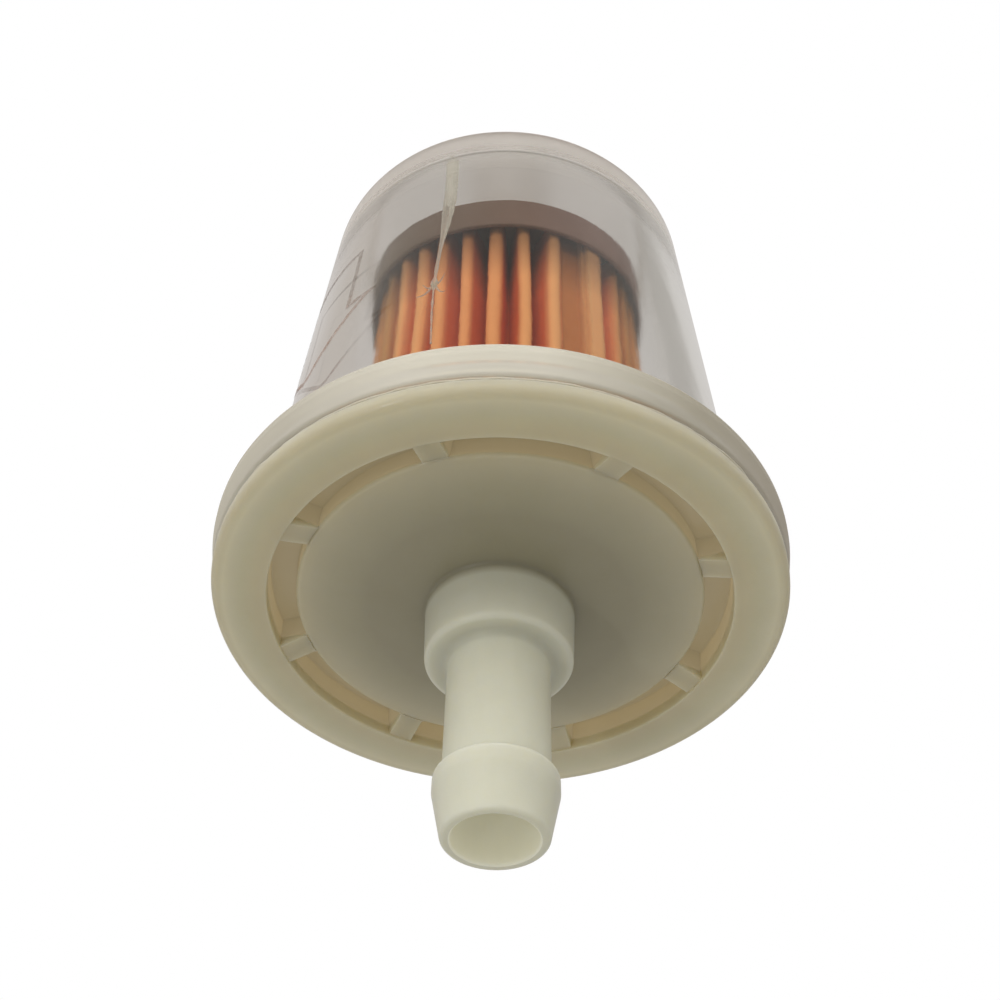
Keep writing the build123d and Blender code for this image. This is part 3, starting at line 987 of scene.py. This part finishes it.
# ---------------------------------------------------------------- print
def make_arrow():
    """Plain flow arrow printed on the bowl as an outline that points towards the outlet.

    Its corners are (degrees from the arrow's middle, height).
    """
    middle = FRONT - 60
    shaft, head, blunt = 14.4, 22.0, 1.6
    top, shoulder, tip = 27.2, 19.5, 14.6
    outline = [
        (-shaft, top),
        (-shaft, shoulder),
        (-head, shoulder),
        (-blunt, tip),
        (blunt, tip),
        (head, shoulder),
        (shaft, shoulder),
        (shaft, top),
    ]
    print_radius = 16.2
    across = math.radians(print_radius)
    flat = [Vector((a * across, z)) for a, z in outline]
    half_line = 0.2
    count = len(flat)
    sides = []
    for i in range(count):
        a = (flat[i] - flat[i - 1]).normalized()
        b = (flat[(i + 1) % count] - flat[i]).normalized()
        na, nb = Vector((-a.y, a.x)), Vector((-b.y, b.x))
        mitre = (na + nb) / (1 + na.dot(nb))
        sides.append((flat[i] + mitre * half_line, flat[i] - mitre * half_line))
    verts, faces = [], []
    for i in range(count):
        a, b = sides[i], sides[(i + 1) % count]
        steps = max(2, int((flat[(i + 1) % count] - flat[i]).length / 0.25))
        for k in range(steps):
            t = k / steps
            for edge in range(2):
                p = a[edge].lerp(b[edge], t)
                rise = (p.y - FLANGE_TOP) / (BOWL_END - FLANGE_TOP)
                wall = WALL_FOOT_RADIUS + (WALL_END_RADIUS - WALL_FOOT_RADIUS) * rise
                for lift in (0.012, 0.035):
                    at = polar(middle - p.x / across, wall + lift)
                    verts.append((at.x, at.y, BASE_Z + p.y))
    size = len(verts) // 4
    for i in range(size):
        a, b = 4 * i, 4 * ((i + 1) % size)
        for m, n in ((0, 1), (1, 3), (3, 2), (2, 0)):
            faces.append((a + m, b + m, b + n, a + n))
    return make_object("flow_arrow_print", verts, faces, faded_ink(), sharp=50)


# ---------------------------------------------------------------- stage
def make_floor():
    """Pale floor that the outlet nipple stands on. It is seen from above and clear from below."""
    s = new_material("floor")
    x, y, _ = s.split(s.position())
    fade = s.ramp(s.math("DIVIDE", s.distance(x, y), 1.2), [
        (0.0, (0, 0, 0)),
        (0.12, (0.06,) * 3),
        (0.5, (0.72,) * 3),
        (0.85, (1, 1, 1)),
    ])
    grey = s.mix_colour(s.noise(30, 3), (0.80, 0.795, 0.785), (0.83, 0.825, 0.815))
    pale = s.node("ShaderNodeBsdfDiffuse", Color=grey)
    white = s.node("ShaderNodeEmission", Color=(1, 1, 1, 1), Strength=1.0)
    top = s.mix_shader(fade, pale.outputs[0], white.outputs[0])
    clear = s.node("ShaderNodeBsdfTransparent")
    back = s.node("ShaderNodeNewGeometry").outputs["Backfacing"]
    material = s.finish(s.mix_shader(back, top, clear.outputs[0]))
    mesh = bpy.data.meshes.new("floor")
    half = 2.5
    level = -0.00002
    corners = [(-half, -half, level), (half, -half, level), (half, half, level), (-half, half, level)]
    mesh.from_pydata(corners, [], [(0, 1, 2, 3)])
    mesh.materials.append(material)
    floor = bpy.data.objects.new("floor", mesh)
    bpy.context.scene.collection.objects.link(floor)
    floor.visible_shadow = False
    floor.visible_diffuse = False
    floor.visible_glossy = False
    floor.visible_transmission = False


def make_world():
    """White to the camera. Diffuse rays see a soft grey studio, brighter in front and overhead.

    Refracted rays see a wall that varies from side to side, and mirrored rays see it dark in front.
    """
    world = bpy.data.worlds.new("studio")
    bpy.context.scene.world = world
    s = Shader(world, "ShaderNodeOutputWorld")
    leftward, frontward, downward = s.split(s.node("ShaderNodeNewGeometry").outputs["Incoming"])
    up = s.math("MULTIPLY_ADD", downward, -0.5, 0.5)
    vertical = s.ramp(up, [
        (0.0, (0.55, 0.54, 0.50)),
        (0.35, (0.62, 0.61, 0.57)),
        (0.55, (0.72, 0.71, 0.69)),
        (1.0, (0.95, 0.95, 0.95)),
    ])
    side = s.math("ADD", s.math("MULTIPLY_ADD", leftward, 0.12, 0.84),
                  s.math("MULTIPLY", frontward, 0.2))
    vertical = s.tinted(vertical, side)
    wall = s.ramp(s.math("MULTIPLY_ADD", leftward, 0.5, 0.5), [
        (0.265, (0.42, 0.40, 0.37)),
        (0.285, (0.60, 0.58, 0.55)),
        (0.38, (0.65, 0.63, 0.61)),
        (0.44, (0.585, 0.56, 0.525)),
        (0.5, (0.62, 0.59, 0.55)),
        (0.56, (0.595, 0.57, 0.535)),
        (0.62, (0.64, 0.61, 0.59)),
        (0.74, (0.50, 0.46, 0.42)),
    ])
    facing = s.ramp(s.math("MULTIPLY_ADD", frontward, 0.5, 0.5), [
        (0.4, (1, 1, 1)),
        (0.9, (0.08, 0.08, 0.08)),
    ])
    path = s.node("ShaderNodeLightPath")
    wall = s.mix_colour(path.outputs["Is Glossy Ray"], wall, s.tinted(wall, facing))
    soft = s.mix_colour(path.outputs["Is Diffuse Ray"], wall, vertical)
    colour = s.mix_colour(path.outputs["Is Camera Ray"], soft, (1.0, 1.0, 1.0))
    background = s.node("ShaderNodeBackground", Color=colour, Strength=1.0)
    s.finish(background.outputs[0])


def make_light(name, toward, distance, size, power, colour, glossy=False):
    """Square light in a direction from the base cap, facing it. It shows only in reflections, if glossy."""
    data = bpy.data.lights.new(name, "AREA")
    data.shape = "SQUARE"
    data.size = size
    data.energy = power
    data.color = colour
    made = bpy.data.objects.new(name, data)
    bpy.context.scene.collection.objects.link(made)
    target = Vector((0, 0, BASE_Z * MM))
    away = Vector(toward).normalized()
    made.location = target + away * distance
    made.rotation_mode = "QUATERNION"
    made.rotation_quaternion = away.to_track_quat("Z", "Y")
    made.visible_camera = False
    made.visible_transmission = False
    made.visible_glossy = glossy


def make_lights():
    """A broad soft light in front and above, a fill from behind and a small low lamp for glints."""
    make_light("key", (-0.12, -1.0, 0.5), 0.5, 0.35, 1.5, (1.0, 0.99, 0.98))
    make_light("fill", (0.8, 0.6, 0.9), 0.6, 0.5, 0.5, (1.0, 1.0, 1.0))
    make_light("glint", (-0.54, -0.57, -0.63), 0.4, 0.02, 0.12, (1.0, 1.0, 1.0), glossy=True)


def make_camera():
    """Camera below the filter and in front of it, looking up at the outlet end."""
    data = bpy.data.cameras.new("camera")
    data.sensor_width = 36.0
    data.lens = 50.4
    data.clip_start = 0.001
    data.clip_end = 20.0
    camera = bpy.data.objects.new("camera", data)
    bpy.context.scene.collection.objects.link(camera)
    pitch, yaw, roll = math.radians(46.92), math.radians(0.355), math.radians(1.306)
    forward = Vector((math.sin(yaw) * math.cos(pitch), math.cos(yaw) * math.cos(pitch), math.sin(pitch)))
    level = Vector((math.cos(yaw), -math.sin(yaw), 0))
    upright = level.cross(forward)
    right = math.cos(roll) * level + math.sin(roll) * upright
    up = -math.sin(roll) * level + math.cos(roll) * upright
    turn = Matrix((right, up, -forward)).transposed().to_4x4()
    camera.matrix_world = Matrix.Translation(Vector((-0.61, -70.97, -46.5)) * MM) @ turn
    bpy.context.scene.camera = camera


def set_up_render():
    """Plain colours, and enough bounces to see through all the clear walls."""
    scene = bpy.context.scene
    scene.view_settings.view_transform = "Standard"
    scene.cycles.transparent_max_bounces = 32
    scene.cycles.transmission_bounces = 24
    scene.cycles.max_bounces = 32
    scene.cycles.diffuse_bounces = 5
    scene.cycles.glossy_bounces = 24
    scene.cycles.caustics_reflective = False
    scene.cycles.caustics_refractive = False


make_bowl()
make_base_cap()
make_weld_seam()
make_paper()
make_side_seam()
make_top_cap()
make_potting()
make_strand()
make_arrow()
make_floor()
make_world()
make_lights()
make_camera()
set_up_render()
